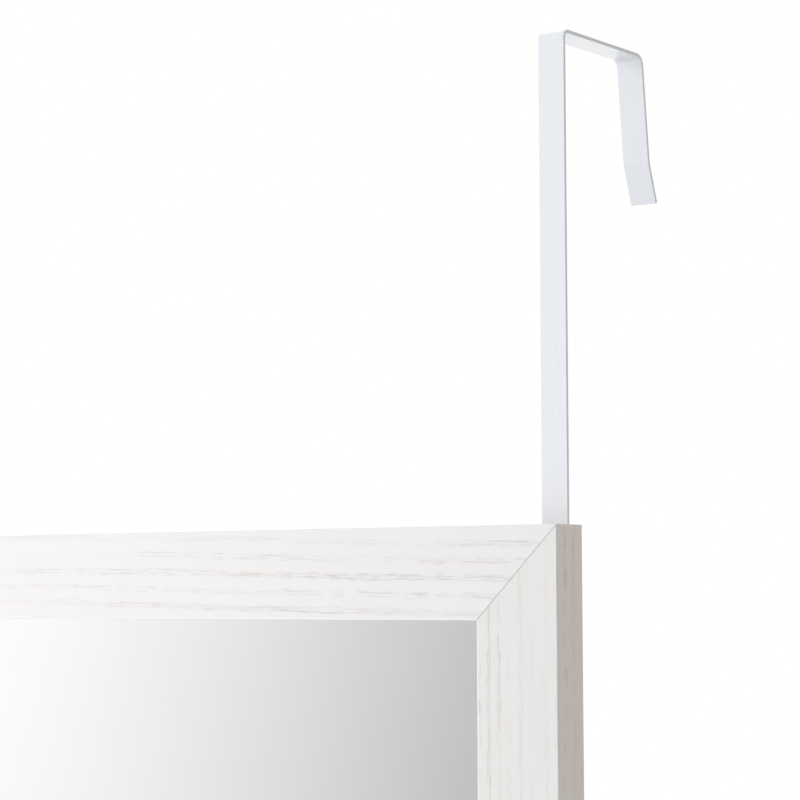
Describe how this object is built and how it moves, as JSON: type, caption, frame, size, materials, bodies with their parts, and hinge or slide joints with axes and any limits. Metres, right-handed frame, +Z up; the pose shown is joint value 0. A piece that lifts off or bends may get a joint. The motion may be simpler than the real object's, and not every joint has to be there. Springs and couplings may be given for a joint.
{
  "type": "over door mirror",
  "caption": "Tall rectangular mirror in a mitred wood-effect frame, hung on a door's top edge by bent flat steel hooks that slide on slots and screws behind the frame.",
  "frame": {"origin": "on the door's top edge, midway between the hooks, in the plane of the door's front face that the bumpers rest on: Z = 0 is the underside of the hooks' top runs and Y = 0 the backs of the bumpers", "axes": "+X to the right of someone who looks into the mirror, +Y from the mirror towards the door (the mirror faces -Y), +Z up"},
  "size_m": [0.35, 0.0804, 1.3702],
  "materials": {
    "whitewashed_wood": "whitewashed open-pore wood-effect foil, satin",
    "mirror_silver": "silvered float glass, polished",
    "hardboard": "smooth brown hardboard",
    "white_steel": "white powder coat, semi-gloss",
    "zinc_steel": "bright zinc plate",
    "bumper_rubber": "translucent soft rubber"
  },
  "bodies": {
    "frame": {"top_rail": "whitewashed_wood", "bottom_rail": "whitewashed_wood", "left_stile": "whitewashed_wood", "right_stile": "whitewashed_wood", "mirror_pane": "mirror_silver", "backing_board": "hardboard", "corner_nails_top_left": "zinc_steel", "corner_nails_top_right": "zinc_steel", "corner_nails_bottom_left": "zinc_steel", "corner_nails_bottom_right": "zinc_steel", "glazing_points_top": "zinc_steel", "glazing_points_bottom": "zinc_steel", "glazing_points_left": "zinc_steel", "glazing_points_right": "zinc_steel", "hook_screw_upper_left": "zinc_steel", "hook_screw_lower_left": "zinc_steel", "hook_screw_upper_right": "zinc_steel", "hook_screw_lower_right": "zinc_steel", "washer_upper_left": "zinc_steel", "washer_lower_left": "zinc_steel", "washer_upper_right": "zinc_steel", "washer_lower_right": "zinc_steel", "bumper_top_left": "bumper_rubber", "bumper_top_right": "bumper_rubber", "bumper_bottom_left": "bumper_rubber", "bumper_bottom_right": "bumper_rubber"},
    "left_hook": {"hook_left": "white_steel"},
    "right_hook": {"hook_right": "white_steel"}
  },
  "joints": [
    {"name": "left_hook_height", "type": "slide", "parent": "frame", "child": "left_hook", "axis": [0, 0, 1], "range_m": [-0.015, 0.015]},
    {"name": "right_hook_height", "type": "slide", "parent": "frame", "child": "right_hook", "axis": [0, 0, 1], "range_m": [-0.015, 0.015]}
  ]
}
